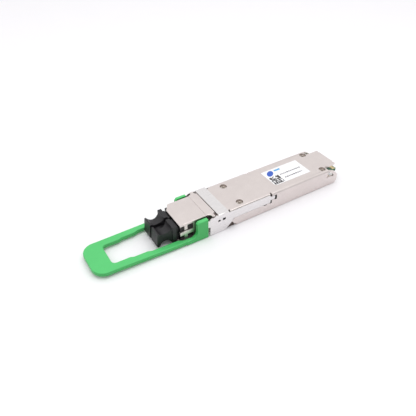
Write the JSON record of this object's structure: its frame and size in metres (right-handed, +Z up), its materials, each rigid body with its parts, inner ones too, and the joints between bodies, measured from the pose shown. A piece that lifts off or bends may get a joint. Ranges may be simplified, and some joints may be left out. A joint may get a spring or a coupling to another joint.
{
  "type": "pluggable optical transceiver module",
  "caption": "Slim metal plug-in optical transceiver with duplex fibre ports, edge-card contacts, spring-returned side latches, a long pull loop and a removable dust plug.",
  "frame": {"origin": "on the underside, mid-width, in the plane where the module meets the front of its cage", "axes": "+X in the direction of insertion towards the card edge, +Z up through the label face"},
  "size_m": [0.1169, 0.0188, 0.0094],
  "materials": {
    "die_cast": "satin nickel plate over a zinc die casting, warm grey",
    "nose_metal": "satin nickel plate, slightly lighter than the body",
    "stamped_steel": "bright plated stamped steel",
    "green_polymer": "green moulded elastomer, satin",
    "black_rubber": "black moulded rubber, soft satin",
    "black_plastic": "black moulded plastic",
    "barrel_steel": "turned stainless steel",
    "zirconia": "white polished zirconia ceramic",
    "gold_plate": "gold plate",
    "flex_film": "amber polyimide film",
    "screw_steel": "plated steel",
    "spring_steel": "drawn spring wire",
    "board_laminate": "green solder mask over glass laminate",
    "chip_package": "black moulding compound",
    "crystal_can": "nickel plated can",
    "ferrite": "dark grey ferrite",
    "capacitor_ceramic": "tan ceramic",
    "thermal_pad": "soft thermal gap pad",
    "gasket_silicone": "conductive silicone",
    "label_paper": "white label stock"
  },
  "bodies": {
    "root": {"upper_housing": "die_cast", "lower_housing": "die_cast", "nose_shell": "nose_metal", "port_insert": "black_plastic", "transmit_barrel": "barrel_steel", "transmit_split_sleeve": "zirconia", "transmit_fibre_stub": "zirconia", "transmit_optical_package": "gold_plate", "transmit_flex_circuit": "flex_film", "receive_barrel": "barrel_steel", "receive_split_sleeve": "zirconia", "receive_fibre_stub": "zirconia", "receive_optical_package": "gold_plate", "receive_flex_circuit": "flex_film", "optics_clamp": "stamped_steel", "clamp_screw": "screw_steel", "cover_screws": "screw_steel", "nose_screws": "screw_steel", "return_spring_right": "spring_steel", "return_spring_left": "spring_steel", "main_board": "board_laminate", "contact_pads": "gold_plate", "signal_processor": "chip_package", "laser_driver": "chip_package", "receiver_amplifier": "chip_package", "microcontroller": "chip_package", "clock_crystal": "crystal_can", "power_inductors": "ferrite", "capacitors": "capacitor_ceramic", "processor_thermal_pad": "thermal_pad", "optics_thermal_pad": "thermal_pad", "base_thermal_pad": "thermal_pad", "shell_gasket": "gasket_silicone", "rating_label": "label_paper"},
    "latch": {"latch_slider": "stamped_steel", "pull_tab": "green_polymer"},
    "plug": {"dust_plug": "black_rubber"}
  },
  "joints": [
    {"name": "latch_pull", "type": "slide", "parent": "root", "child": "latch", "axis": [-1, 0, 0], "range_m": [0, 0.0035], "stiffness_N_per_m": 300, "springref_m": -0.004, "deforming": ["return_spring_right", "return_spring_left"]},
    {"name": "plug_pull", "type": "slide", "parent": "root", "child": "plug", "axis": [-1, 0, 0], "range_m": [0, 0.0095]}
  ]
}
